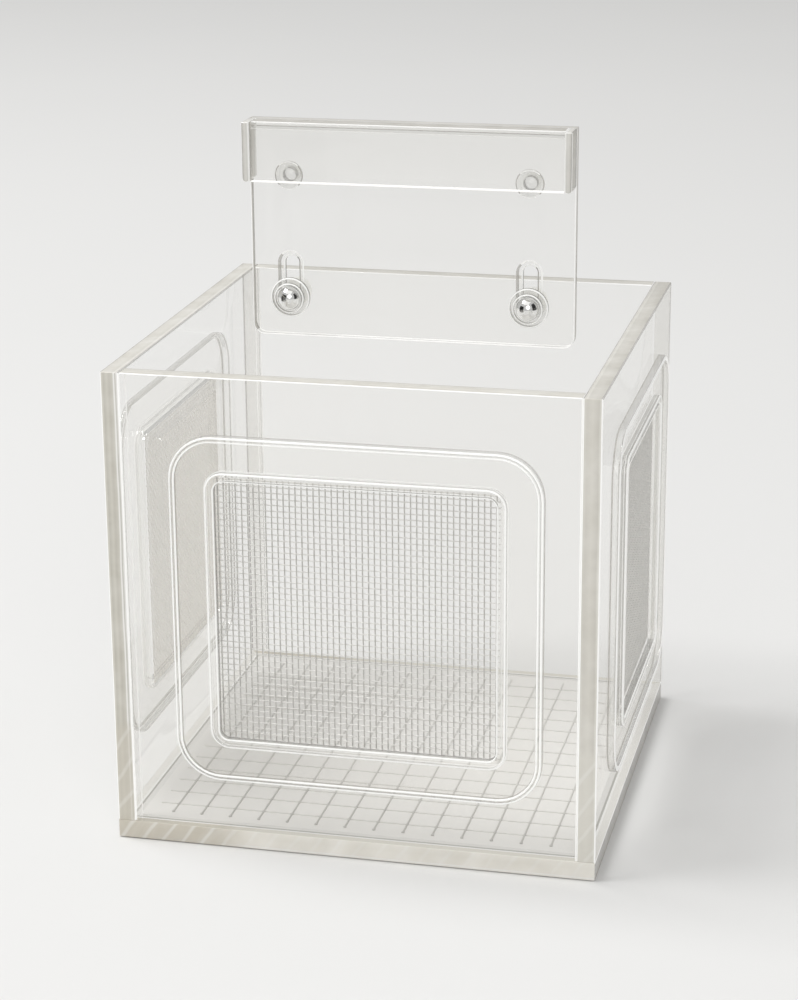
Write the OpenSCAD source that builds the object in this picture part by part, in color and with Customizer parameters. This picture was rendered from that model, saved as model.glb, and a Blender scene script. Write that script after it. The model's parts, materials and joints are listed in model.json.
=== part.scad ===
// Open-topped queen cage of clear sheet, with three wire windows, a ruled
// floor and a hanger plate that slides on two clamp screws behind the rim.
// Origin: middle of the floor's underside. +X right, +Y to the back, +Z up.

/* [Box] */
// Outside width of the box
cage_w = 130; // [120:1:180]
// Outside depth of the box, front to back
cage_d = 130; // [120:1:180]
// Outside height of the box
cage_h = 130; // [115:1:180]
// Thickness of the wall and floor sheets
sheet_t = 5; // [4:0.5:8]

/* [Windows] */
// Clear width of the front window
front_window_w = 74; // [50:1:78]
// Clear width of each side window
side_window_w = 64; // [50:1:78]
// Clear height of all three windows
window_h = 71; // [50:1:76]
// Corner radius of the clear window
window_r = 2.5; // [1:0.1:5]
// Front window's centre, to the right of the box's centre
front_window_shift = 2; // [-4:0.5:4]
// Width of the bezel ring that holds a mesh
bezel_band = 2.4; // [2.1:0.1:4]
// How far the bezel stands out from the wall
bezel_t = 2.2; // [1.5:0.1:4]
// Width of a window's flange
flange_w = 98; // [92:0.5:104]
// Height of a window's flange
flange_h = 95; // [90:0.5:102]
// Corner radius of the flange
flange_r = 12; // [6:0.5:18]
// Thickness of the flange
flange_t = 1.4; // [1:0.1:3]
// Width of the bead round the flange's rim
bead_w = 1.8; // [1:0.1:3]
// Height of the bead above the flange
bead_proud = 0.9; // [0.4:0.1:2]
// Clearance of a piece that is set into another
seat_fit = 0.1; // [0.05:0.01:0.2]

/* [Mesh] */
// Spacing of the woven wires
wire_pitch = 1.59; // [1.4:0.01:2.4]
// Diameter of one wire
wire_d = 0.45; // [0.3:0.01:0.55]
// The solid mesh holds one wire out of this many
wire_skip_count = 4; // [4:1:8]
// How far a mesh runs on past the clear window
mesh_lap = 1.5; // [0.8:0.1:1.7]

/* [Floor rulings] */
// Spacing of the ruled lines
grid_pitch = 8; // [8:0.5:20]
// Width of a ruled line
grid_line_w = 0.4; // [0.3:0.05:1]
// Height of a ruled line above the floor
grid_line_t = 0.2; // [0.1:0.05:0.4]
// How far a line runs on past the last line that it crosses
grid_overhang = 5; // [1:0.5:5]
// Diameter of the dot that ends a lengthwise line
grid_dot_d = 0.9; // [0.5:0.1:2]

/* [Hanger] */
// Width of the hanger plate
hanger_w = 97.5; // [94:0.5:106]
// Thickness of the hanger plate
hanger_t = 3; // [2:0.5:4]
// Gap between the plate's left edge and the left wall
hanger_side_gap = 0.5; // [0.3:0.1:4]
// Running gap between the plate and the back wall
slide_gap = 0.2; // [0.1:0.05:0.5]
// How far the plate reaches below the rim
hanger_lap = 19.5; // [15:0.5:30]
// How far the plate stands above the rim
hanger_rise = 45.5; // [40:0.5:80]
// Radius of the plate's lower corners
hanger_r = 3.5; // [1:0.5:8]
// Height of the hook's front lip
lip_h = 17.5; // [12:0.5:20]
// Sheet thickness of the hook's lip, top and end caps
hook_t = 2.2; // [1.5:0.1:4]
// Clear depth inside the hook
pocket_gap = 6; // [5:0.5:12]

/* [Clamps] */
// Left slot's centre, from the plate's left edge
slot_inset = 12; // [10:0.5:16]
// Distance between the two slots
slot_spacing = 72; // [60:0.5:74]
// Clamp screws' depth below the rim
screw_drop = 7.5; // [6.5:0.5:9]
// Travel of the hanger on the screws
slide_travel = 10; // [4:0.5:14]
// Diameter of the clamp screw's shank
screw_d = 4; // [3:0.5:5]
// Length of the clamp screw with its head
screw_len = 12; // [11.5:0.1:12.4]
// Diameter of the screw's countersunk head
screw_head_d = 8; // [7:0.5:9]
// Size of the key that fits the screw's head
screw_key = 2.5; // [2:0.5:3]
// Depth of the key's socket
screw_key_depth = 1.4; // [1:0.1:1.6]
// Clearance of a screw in the back wall
screw_fit = 0.1; // [0.05:0.01:0.2]
// Clearance of a screw at each side of its slot
slot_fit = 0.15; // [0.1:0.01:0.3]
// Width of the shallow recess along each slot
recess_w = 6.6; // [6:0.1:8]
// Depth of the recess along each slot
recess_depth = 1.2; // [0.6:0.1:1.5]
// Diameter of the clamp knob's flange
knob_d = 11.8; // [10:0.1:12.8]
// Thickness of the clamp knob's flange
knob_flange_t = 1.6; // [1:0.1:2]
// Diameter of the clamp knob's upper step
knob_step_d = 9; // [8.2:0.1:9.8]
// Height of the clamp knob
knob_h = 3; // [2.4:0.1:4]
// Running gap between a knob and the plate
knob_gap = 0.2; // [0.1:0.05:0.4]
// Diameter of the domed cap nut
nut_d = 6.8; // [6.4:0.1:7.4]
// Height of the cap nut below its dome
nut_h = 3.3; // [3:0.1:4]
// Height of the cap nut's dome
dome_h = 2.4; // [2:0.1:3]
// Depth of the cap nut's thread
nut_depth = 4.2; // [4:0.1:4.4]
// Clearance of the cap nut on its screw
thread_fit = 0.05; // [0.02:0.01:0.08]

/* [Catch buttons] */
// Height of a button's centre above the rim
button_rise = 29; // [24:0.5:36]
// Diameter of a button's flange
button_d = 8.4; // [7:0.1:10]
// Thickness of a button's flange
button_flange_t = 0.8; // [0.5:0.1:1.2]
// Diameter of a button's dome
button_dome_d = 6.2; // [5:0.1:6.8]
// Height of a button's dome
button_dome_h = 1.4; // [1:0.1:2]
// Diameter of a button's stem
button_stem_d = 4; // [3:0.1:4.6]
// Diameter of the stem's spread end
button_tail_d = 5.2; // [4.8:0.1:6]
// Thickness of the stem's spread end
button_tail_t = 0.7; // [0.4:0.1:1]
// Clearance of a stem in the plate
button_fit = 0.05; // [0.02:0.01:0.1]

/* [Hidden] */
$fn = 64;

clear_sheet = [0.86, 0.88, 0.87, 0.35];
clear_moulding = [0.92, 0.94, 0.93, 0.45];
floor_sheet = [0.80, 0.80, 0.78, 0.6];
wire_grey = [0.60, 0.60, 0.58];
ink_grey = [0.36, 0.36, 0.35];
bright_metal = [0.78, 0.78, 0.79];

// Room by which a cut runs past the face that it opens
over = 1;

// The box's inside, and the middle of a wall's height
inner_w = cage_w - 2 * sheet_t;
inner_d = cage_d - 2 * sheet_t;
wall_h = cage_h - sheet_t;
wall_mid_z = sheet_t + wall_h / 2;

// A mesh is two crossing wires thick and lies in a rebate of the wall
mesh_t = 2 * wire_d;
rebate_t = mesh_t + seat_fit / 2;
wire_gap = wire_pitch * wire_skip_count;

// Number of ruled lines across the floor, and along it
grid_nx = floor(inner_w / grid_pitch) - 1;
grid_ny = floor(inner_d / grid_pitch) - 1;
grid_half_x = (grid_nx - 1) / 2 * grid_pitch;
grid_half_y = (grid_ny - 1) / 2 * grid_pitch;

// The hanger plate stands close against the back wall's inner face
hanger_x = -inner_w / 2 + hanger_side_gap;
plate_back_y = inner_d / 2 - slide_gap;
plate_front_y = plate_back_y - hanger_t;
hanger_bottom_z = cage_h - hanger_lap;
hanger_top_z = cage_h + hanger_rise;
hanger_h = hanger_lap + hanger_rise;

// The hook reaches forward from the plate's top
lip_front_y = plate_front_y - pocket_gap - hook_t;
lip_bottom_z = hanger_top_z - lip_h;
hook_inner_x = hanger_x + hook_t;
hook_inner_w = hanger_w - 2 * hook_t;

// Screw places: at rest each screw stands at the lower end of its slot
left_x = hanger_x + slot_inset;
right_x = left_x + slot_spacing;
screw_z = cage_h - screw_drop;
slot_w = screw_d + 2 * slot_fit;
head_cone_h = (screw_head_d - screw_d) / 2;
knob_back_y = plate_front_y - knob_gap;
button_z = cage_h + button_rise;

// Rectangle about the origin with true round corners
module round_rect(w, h, r) {
    square([w - 2 * r, h], center = true);
    square([w, h - 2 * r], center = true);
    for (sx = [-1, 1], sy = [-1, 1])
        translate([sx * (w / 2 - r), sy * (h / 2 - r)]) circle(r);
}

// Flat ring between two rounded rectangles
module round_ring(w, h, r, band_w, band_h, band_r) {
    difference() {
        round_rect(w, h, r);
        round_rect(w - 2 * band_w, h - 2 * band_h, band_r);
    }
}

// Window places: local x and y lie in the wall's outer face, z points out of the box
module on_front() {
    translate([front_window_shift, -cage_d / 2, wall_mid_z]) rotate([90, 0, 0]) children();
}

module on_left() {
    translate([-cage_w / 2, 0, wall_mid_z]) rotate([90, 0, -90]) children();
}

module on_right() {
    translate([cage_w / 2, 0, wall_mid_z]) rotate([90, 0, 90]) children();
}

// Clamp and button places: local z points from the back wall towards the front
module facing_front(x, y, z) {
    translate([x, y, z]) rotate([90, 0, 0]) children();
}

// Window opening, with the rebate that the mesh lies in
module window_cut(w) {
    rebate = mesh_lap + seat_fit;
    translate([0, 0, -sheet_t - over])
        linear_extrude(sheet_t + 2 * over) round_rect(w, window_h, window_r);
    translate([0, 0, -rebate_t])
        linear_extrude(rebate_t + over) round_rect(w + 2 * rebate, window_h + 2 * rebate, window_r);
}

// Flange round a window, with a bead along its rim and a seat for the bezel
module window_frame(w) {
    seat_w = w + 2 * bezel_band + 2 * seat_fit;
    seat_h = window_h + 2 * bezel_band + 2 * seat_fit;
    seat_r = window_r + bezel_band + seat_fit;
    color(clear_moulding) {
        linear_extrude(flange_t)
            round_ring(flange_w, flange_h, flange_r,
                (flange_w - seat_w) / 2, (flange_h - seat_h) / 2, seat_r);
        translate([0, 0, flange_t])
            linear_extrude(bead_proud)
                round_ring(flange_w, flange_h, flange_r, bead_w, bead_w, flange_r - bead_w);
    }
}

// Ring that clamps the mesh's edge against the wall
module mesh_bezel(w) {
    color(clear_moulding) linear_extrude(bezel_t)
        round_ring(w + 2 * bezel_band, window_h + 2 * bezel_band, window_r + bezel_band,
            bezel_band, bezel_band, window_r);
}

// Wire cloth, as a flat net of one wire in every few, spread evenly over the panel
module mesh_panel(w) {
    panel_w = w + 2 * mesh_lap;
    panel_h = window_h + 2 * mesh_lap;
    across = round(panel_w / wire_gap);
    up = round(panel_h / wire_gap);
    gap_x = (panel_w - wire_d) / across;
    gap_y = (panel_h - wire_d) / up;
    color(wire_grey) translate([0, 0, -rebate_t]) linear_extrude(mesh_t)
        intersection() {
            round_rect(panel_w, panel_h, window_r);
            union() {
                for (i = [0:across])
                    translate([(i - across / 2) * gap_x, 0])
                        square([wire_d, panel_h], center = true);
                for (j = [0:up])
                    translate([0, (j - up / 2) * gap_y])
                        square([panel_w, wire_d], center = true);
            }
        }
}

module floor_panel() {
    color(floor_sheet) translate([-cage_w / 2, -cage_d / 2, 0]) cube([cage_w, cage_d, sheet_t]);
}

module front_wall() {
    color(clear_sheet) difference() {
        translate([-inner_w / 2, -cage_d / 2, sheet_t]) cube([inner_w, sheet_t, wall_h]);
        on_front() window_cut(front_window_w);
    }
}

module back_wall() {
    color(clear_sheet) difference() {
        translate([-inner_w / 2, inner_d / 2, sheet_t]) cube([inner_w, sheet_t, wall_h]);
        for (x = [left_x, right_x])
            facing_front(x, cage_d / 2, screw_z) screw_hole();
    }
}

module left_wall() {
    color(clear_sheet) difference() {
        translate([-cage_w / 2, -cage_d / 2, sheet_t]) cube([sheet_t, cage_d, wall_h]);
        on_left() window_cut(side_window_w);
    }
}

module right_wall() {
    color(clear_sheet) difference() {
        translate([inner_w / 2, -cage_d / 2, sheet_t]) cube([sheet_t, cage_d, wall_h]);
        on_right() window_cut(side_window_w);
    }
}

// Ruled lines that stand on the floor sheet
module floor_grid() {
    run_x = 2 * (grid_half_x + grid_overhang);
    run_y = 2 * (grid_half_y + grid_overhang);
    color(ink_grey) translate([0, 0, sheet_t]) linear_extrude(grid_line_t) {
        for (i = [0:grid_nx - 1])
            translate([i * grid_pitch - grid_half_x, 0]) {
                square([grid_line_w, run_y], center = true);
                translate([0, -run_y / 2]) circle(d = grid_dot_d, $fn = 8);
            }
        for (j = [0:grid_ny - 1])
            translate([0, j * grid_pitch - grid_half_y])
                square([run_x, grid_line_w], center = true);
    }
}

module front_window_frame() { on_front() window_frame(front_window_w); }
module front_mesh() { on_front() mesh_panel(front_window_w); }
module front_mesh_bezel() { on_front() mesh_bezel(front_window_w); }
module left_window_frame() { on_left() window_frame(side_window_w); }
module left_mesh() { on_left() mesh_panel(side_window_w); }
module left_mesh_bezel() { on_left() mesh_bezel(side_window_w); }
module right_window_frame() { on_right() window_frame(side_window_w); }
module right_mesh() { on_right() mesh_panel(side_window_w); }
module right_mesh_bezel() { on_right() mesh_bezel(side_window_w); }

// Countersunk hole through the back wall, from its outer face
module screw_hole() {
    hole_r = screw_d / 2 + screw_fit;
    translate([0, 0, -over]) cylinder(h = sheet_t + 2 * over, r = hole_r);
    cylinder(h = head_cone_h, r1 = screw_head_d / 2 + screw_fit, r2 = hole_r);
    translate([0, 0, -over]) cylinder(h = over, r = screw_head_d / 2 + screw_fit);
}

// Countersunk screw, flush with the back wall's outer face
module clamp_screw(x) {
    color(bright_metal) facing_front(x, cage_d / 2, screw_z) difference() {
        union() {
            cylinder(h = head_cone_h, r1 = screw_head_d / 2, r2 = screw_d / 2);
            cylinder(h = screw_len, d = screw_d);
        }
        translate([0, 0, -over])
            cylinder(h = screw_key_depth + over, d = screw_key / cos(30), $fn = 6);
    }
}

module left_clamp_screw() { clamp_screw(left_x); }
module right_clamp_screw() { clamp_screw(right_x); }

// Outline of a slot from the screw's rest place upwards
module slot_outline(w) {
    circle(d = w);
    translate([0, slide_travel]) circle(d = w);
    translate([-w / 2, 0]) square([w, slide_travel]);
}

// Outline of the plate, square at the top and rounded at its lower corners
module plate_outline() {
    translate([0, hanger_r]) square([hanger_w, hanger_h - hanger_r]);
    translate([hanger_r, 0]) square([hanger_w - 2 * hanger_r, hanger_r + over]);
    for (x = [hanger_r, hanger_w - hanger_r])
        translate([x, hanger_r]) circle(hanger_r);
}

module hanger_plate() {
    color(clear_sheet) difference() {
        facing_front(hanger_x, plate_back_y, hanger_bottom_z)
            linear_extrude(hanger_t) plate_outline();
        for (x = [left_x, right_x]) {
            facing_front(x, plate_back_y + over, screw_z)
                linear_extrude(hanger_t + 2 * over) slot_outline(slot_w);
            facing_front(x, plate_front_y + recess_depth, screw_z)
                linear_extrude(recess_depth + over) slot_outline(recess_w);
            facing_front(x, plate_back_y + over, button_z)
                cylinder(h = hanger_t + 2 * over, d = button_stem_d + 2 * button_fit);
        }
    }
}

// Strip between the plate and the lip, whose underside rests on the rail
module hanger_top() {
    color(clear_sheet) translate([hook_inner_x, lip_front_y + hook_t, hanger_top_z - hook_t])
        cube([hook_inner_w, pocket_gap, hook_t]);
}

module hanger_lip() {
    color(clear_sheet) translate([hook_inner_x, lip_front_y, lip_bottom_z])
        cube([hook_inner_w, hook_t, lip_h]);
}

// End cap that closes the hook beside the lip
module hanger_cap(x) {
    color(clear_sheet) translate([x, lip_front_y, lip_bottom_z])
        cube([hook_t, hook_t + pocket_gap, lip_h]);
}

module hanger_left_cap() { hanger_cap(hanger_x); }
module hanger_right_cap() { hanger_cap(hanger_x + hanger_w - hook_t); }

// Domed cap on a flat base, with the base on z = 0
module dome(base_d, h) {
    ball_r = (pow(base_d / 2, 2) + h * h) / (2 * h);
    intersection() {
        translate([0, 0, h - ball_r]) sphere(ball_r);
        cylinder(h = h + over, d = base_d + over);
    }
}

// Button on the plate's front, with its stem spread behind the plate
module catch_button(x) {
    color(clear_moulding) facing_front(x, plate_front_y, button_z) {
        cylinder(h = button_flange_t, d = button_d);
        translate([0, 0, button_flange_t]) dome(button_dome_d, button_dome_h);
        translate([0, 0, -hanger_t]) cylinder(h = hanger_t, d = button_stem_d);
        translate([0, 0, -hanger_t - button_tail_t]) cylinder(h = button_tail_t, d = button_tail_d);
    }
}

module left_catch_button() { catch_button(left_x); }
module right_catch_button() { catch_button(right_x); }

// Stepped clear ring that is pressed on the cap nut
module clamp_knob(x) {
    color(clear_moulding) facing_front(x, knob_back_y, screw_z) difference() {
        union() {
            cylinder(h = knob_flange_t, d = knob_d);
            cylinder(h = knob_h, d = knob_step_d);
        }
        translate([0, 0, -over])
            cylinder(h = knob_h + 2 * over, d = nut_d + 2 * thread_fit);
    }
}

module left_clamp_knob() { clamp_knob(left_x); }
module right_clamp_knob() { clamp_knob(right_x); }

// Domed nut that runs on the clamp screw
module cap_nut(x) {
    color(bright_metal) facing_front(x, knob_back_y, screw_z) difference() {
        union() {
            cylinder(h = nut_h, d = nut_d);
            translate([0, 0, nut_h]) dome(nut_d, dome_h);
        }
        translate([0, 0, -over])
            cylinder(h = nut_depth + over, d = screw_d + 2 * thread_fit);
    }
}

module left_cap_nut() { cap_nut(left_x); }
module right_cap_nut() { cap_nut(right_x); }

floor_panel();
front_wall();
back_wall();
left_wall();
right_wall();
floor_grid();
front_window_frame();
front_mesh();
front_mesh_bezel();
left_window_frame();
left_mesh();
left_mesh_bezel();
right_window_frame();
right_mesh();
right_mesh_bezel();
left_clamp_screw();
right_clamp_screw();
hanger_plate();
hanger_top();
hanger_lip();
hanger_left_cap();
hanger_right_cap();
left_catch_button();
right_catch_button();
left_clamp_knob();
left_cap_nut();
right_clamp_knob();
right_cap_nut();
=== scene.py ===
# %% [markdown]
# # A clear cage for a queen bee
#
# The real object is a box cemented from clear sheet. Three of its walls have a window of woven
# wire, its floor is ruled with a grid, and a hook hanger slides on two clamp screws behind the
# rim. This lesson dresses the measured solids of that box: each step says what a piece is, how
# it could be made, and why it is made this way.
#
# The solids come in first, as a frame that nothing here moves.

# %% Load the frame
import json
import math

import bmesh
import bpy
from mathutils import Matrix, Vector
from mathutils.geometry import tessellate_polygon

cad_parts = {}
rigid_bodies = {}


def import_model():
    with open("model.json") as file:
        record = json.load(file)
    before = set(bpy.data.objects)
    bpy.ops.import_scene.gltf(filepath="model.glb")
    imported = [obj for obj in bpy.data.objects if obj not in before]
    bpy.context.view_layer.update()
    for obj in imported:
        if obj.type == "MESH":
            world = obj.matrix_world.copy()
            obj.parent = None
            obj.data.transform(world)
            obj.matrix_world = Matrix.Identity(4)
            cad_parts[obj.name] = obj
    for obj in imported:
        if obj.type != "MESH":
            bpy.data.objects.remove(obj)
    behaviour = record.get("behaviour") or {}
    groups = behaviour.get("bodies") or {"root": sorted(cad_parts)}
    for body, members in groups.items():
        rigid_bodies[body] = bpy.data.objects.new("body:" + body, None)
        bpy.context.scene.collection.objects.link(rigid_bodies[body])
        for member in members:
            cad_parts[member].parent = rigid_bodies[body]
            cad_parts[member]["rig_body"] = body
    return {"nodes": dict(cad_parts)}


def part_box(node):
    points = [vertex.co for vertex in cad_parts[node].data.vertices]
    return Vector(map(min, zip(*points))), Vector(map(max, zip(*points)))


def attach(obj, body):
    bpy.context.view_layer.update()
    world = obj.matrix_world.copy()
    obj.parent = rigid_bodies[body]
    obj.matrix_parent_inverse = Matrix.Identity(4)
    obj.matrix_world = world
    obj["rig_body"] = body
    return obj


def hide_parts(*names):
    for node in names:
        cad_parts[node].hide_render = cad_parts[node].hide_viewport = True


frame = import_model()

scene = bpy.context.scene
scene.view_settings.view_transform = "Standard"
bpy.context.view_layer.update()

# %% [markdown]
# ## Sizes
#
# The object's sizes are in millimetres, as on the maker's drawing, and turn into metres where a
# mesh or a finish is written. Typing them all again would work, but the solids already hold most
# of them, so those are read back from the solids' boxes. Only the camera, the stage and the lamps
# are placed in metres.

# %% Driving sizes
MM = 0.001


def span(node, axis):
    """Where a solid starts and ends along X, Y or Z, to a hundredth of a millimetre."""
    return [round(corner["XYZ".index(axis)] / MM, 2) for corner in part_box(node)]


def size(node, axis):
    low, high = span(node, axis)
    return round(high - low, 2)


def middle(node, axis):
    return round(sum(span(node, axis)) / 2, 2)


CAGE, SHEET = size("floor_panel", "X"), size("floor_panel", "Z")
HANG_W, HANG_T, HANG_H = (size("hanger_plate", axis) for axis in "XYZ")
HANG_MID, PLATE_MID = middle("hanger_plate", "X"), middle("hanger_plate", "Z")
PLATE_FRONT, PLATE_BACK = span("hanger_plate", "Y")
HANG_TOP = span("hanger_plate", "Z")[1]
HOOK_T, LIP_H = size("hanger_lip", "Y"), size("hanger_lip", "Z")
LIP_FRONT = span("hanger_lip", "Y")[0]
print("box", CAGE, "sheet", SHEET, "hanger", HANG_W, "x", HANG_H, "mm")

# %% [markdown]
# ## The camera
#
# A camera can be placed by eye, or solved from the picture. Here the eight corners of the box
# were used: its edges fix how far round, how high and how far off the lens stood, and how much
# it was rolled. The lens is long, so the box looks nearly parallel. Blender's sensor spans the
# picture's longer side, which is its height.

# %% Place the camera
TURN, CLIMB, ROLL = (math.radians(degrees) for degrees in (13.161, 17.743, -0.413))
EYE = (0.15574, -0.67353, 0.30069)
FOCAL_PIXELS, PICTURE_HEIGHT, SENSOR = 2598.557, 1000, 36
back = Vector((math.sin(TURN) * math.cos(CLIMB), -math.cos(TURN) * math.cos(CLIMB), math.sin(CLIMB)))
level = Vector((math.cos(TURN), math.sin(TURN), 0))
upright = back.cross(level)
right = math.cos(ROLL) * level + math.sin(ROLL) * upright
up = math.cos(ROLL) * upright - math.sin(ROLL) * level
camera = bpy.data.objects.new("camera", bpy.data.cameras.new("camera"))
camera.matrix_world = Matrix.Translation(EYE) @ Matrix((right, up, back)).transposed().to_4x4()
camera.data.sensor_width = SENSOR
camera.data.lens = FOCAL_PIXELS * SENSOR / PICTURE_HEIGHT
camera.data.clip_start, camera.data.clip_end = 0.01, 50
scene.collection.objects.link(camera)
scene.camera = camera
print("lens", round(camera.data.lens, 2), "mm, camera", [round(x, 3) for x in camera.location])

# %% [markdown]
# ## Shader maths as plain expressions
#
# A material is a graph of nodes, and wiring it by hand is slow to read. This small class wraps
# one socket, so `1 - 0.4 * grain` adds the Math nodes that it needs. Any other node comes from
# one method: its type, its settings, then the values or links of its sockets.

# %% Sockets that do arithmetic
class Flow:
    """One socket of a node tree; arithmetic on it adds Math nodes."""

    def __init__(self, tree, socket=None):
        self.tree, self.socket = tree, socket

    def node(self, kind, settings=None, out=0, **values):
        """A new node's output; a value's key is its socket's name, or in and the socket's number."""
        made = self.tree.nodes.new("ShaderNode" + kind)
        for key, value in (settings or {}).items():
            if key == "stops":
                ramp = made.color_ramp.elements
                for place, shade in value[1:-1]:
                    ramp.new(place)
                for stop, (place, shade) in zip(ramp, value):
                    stop.position, stop.color = place, (*shade, 1)
            else:
                setattr(made, key, value)
        for key, value in values.items():
            numbered = key.startswith("in") and key[2:].isdigit()
            into = made.inputs[int(key[2:]) if numbered else key.replace("_", " ")]
            if isinstance(value, Flow):
                self.tree.links.new(value.socket, into)
            else:
                into.default_value = value
        return Flow(self.tree, made.outputs[out])

    def math(self, operation, a, b=0.0):
        return self.node("Math", {"operation": operation}, in0=a, in1=b)

    def __add__(self, other):
        return self.math("ADD", self, other)

    def __radd__(self, other):
        return self.math("ADD", other, self)

    def __sub__(self, other):
        return self.math("SUBTRACT", self, other)

    def __rsub__(self, other):
        return self.math("SUBTRACT", other, self)

    def __mul__(self, other):
        return self.math("MULTIPLY", self, other)

    def __rmul__(self, other):
        return self.math("MULTIPLY", other, self)

    def mixed(self, first, second):
        """The colour between two colours, by this socket from 0 to 1."""
        return self.node("Mix", {"data_type": "RGBA"}, 2, in0=self, in6=first, in7=second)

    def scaled(self, by):
        """This vector, stretched along its three axes."""
        return self.node("VectorMath", {"operation": "MULTIPLY"}, in0=self, in1=by)


def start_finish(name):
    """A new material, the start of its graph, and its points on the object, in metres."""
    material = bpy.data.materials.new(name)
    material.use_nodes = True
    material.node_tree.nodes.clear()
    flow = Flow(material.node_tree)
    return material, flow, flow.node("TexCoord", out="Object")


def end_finish(material, surface):
    output = material.node_tree.nodes.new("ShaderNodeOutputMaterial")
    material.node_tree.links.new(surface.socket, output.inputs["Surface"])
    print("finish:", material.name, len(material.node_tree.nodes), "nodes")
    return material

# %% [markdown]
# ## Clear sheet
#
# Polished clear sheet is almost nothing to look at: light goes through, and a little of it
# mirrors, more at a glancing angle. Solid glass with bending rays would do it, but two parallel
# faces bend a ray back to where it was going, so a see-through shader under a thin mirror gives
# the same picture with far less noise. Handling leaves a faint haze, which breaks up the gloss.
#
# The floor is the same sheet with so much haze that it looks milky. Under the walls the cement
# shows as a margin. Along its inner side run a dark line, painted shade where wall and floor meet,
# and a pale line, a painted highlight on the cement.

# %% Finish of the sheet's faces
ACRYLIC_IOR = 1.49
CEMENT_W, SEAM_LINE = 2.8, 0.3
CORNER_START, CORNER_END = -27.0, -38.0


def clear_face(name, tint, haze, haze_colour, gloss, cement=None):
    """Clear or frosted sheet; cement is half the width of the square that the walls' cement leaves free."""
    material, flow, at = start_finish(name)
    smear = flow.node("TexNoise", out="Fac", Vector=at, Scale=38.0, Detail=5.0, Roughness=0.6)
    speck = flow.node("TexNoise", out="Fac", Vector=at, Scale=900.0, Detail=2.0)
    through = flow.node("BsdfTransparent", Color=(*tint, 1))
    mirror = flow.node("BsdfGlossy", Color=(1, 1, 1, 1), Roughness=0.02 + 0.05 * smear)
    cover, shade = haze * (0.55 + 0.6 * smear + 0.3 * speck), (*haze_colour, 1)
    if cement:
        x, y = (flow.node("SeparateXYZ", out=axis, Vector=at) * (1 / MM) for axis in "XY")
        out_x, out_y = flow.math("ABSOLUTE", x), flow.math("ABSOLUTE", y)
        out = flow.math("MAXIMUM", out_x, out_y)
        # painted shade: under the front and back walls the margin darkens towards the left
        painted_shade_to_left = flow.node("MapRange", Value=x, From_Min=CORNER_START, From_Max=CORNER_END)
        margin = painted_shade_to_left.mixed((0.76, 0.735, 0.66, 1), (0.62, 0.58, 0.49, 1))
        margin = flow.math("GREATER_THAN", out_x, out_y).mixed(margin, (0.84, 0.825, 0.785, 1))
        shade = flow.math("GREATER_THAN", out, cement).mixed(shade, margin)
        # painted shade: the dark line; painted highlight: the pale line beside it
        for line, colour in ((cement - SEAM_LINE, (0.44, 0.425, 0.39, 1)),
                             (cement + SEAM_LINE, (0.95, 0.945, 0.925, 1))):
            off_line = flow.math("ABSOLUTE", out - line)
            shade = flow.math("LESS_THAN", off_line, SEAM_LINE).mixed(shade, colour)
    veil = flow.node("BsdfPrincipled", Base_Color=shade, Roughness=1.0, Specular_IOR_Level=0.0)
    dusty = flow.node("MixShader", Fac=cover, in1=through, in2=veil)
    glance = gloss * flow.node("Fresnel", IOR=ACRYLIC_IOR)
    return end_finish(material, flow.node("MixShader", Fac=glance, in1=dusty, in2=mirror))


wall_face = clear_face("clear_sheet_face", (0.996, 0.995, 0.992), 0.012, (0.95, 0.945, 0.925), 0.22)
hanger_face = clear_face("hanger_sheet_face", (0.996, 0.995, 0.991), 0.015, (0.94, 0.935, 0.915), 0.35)
floor_face = clear_face("floor_sheet_face", (0.985, 0.98, 0.97), 1.15, (0.80, 0.788, 0.762), 0.3,
                        cement=CAGE / 2 - CEMENT_W)

# %% [markdown]
# ## Sawn edges
#
# Where the sheet was cut, its edge gathers the light of the whole sheet. It looks warm grey, in
# bands that run along the edge. The bands are painted reflection: they stand in for the two faces
# mirroring each other inside the sheet, as a ramp across the sheet's thickness. Noise bends them,
# and pale slanting marks are left by the saw. A plain colour would look like paint.
#
# The feet of the two front edges and the floor's front left corner are worn. There the bands
# give way to an even frost, and the arcs of the saw's teeth show more.

# %% Finish of the sheet's edges
SAW_SLANT, SAW_GRAIN = (0.0, -0.616, 0.785), (260, 50, 50)
TOOTH, WAVER = 3.4, 20.0
WORN_FOOT = ("Z", 36.0, 33.0)
WORN_CORNER = (("X", CORNER_START, CORNER_END), ("Y", -30.0, -50.0))


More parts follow.
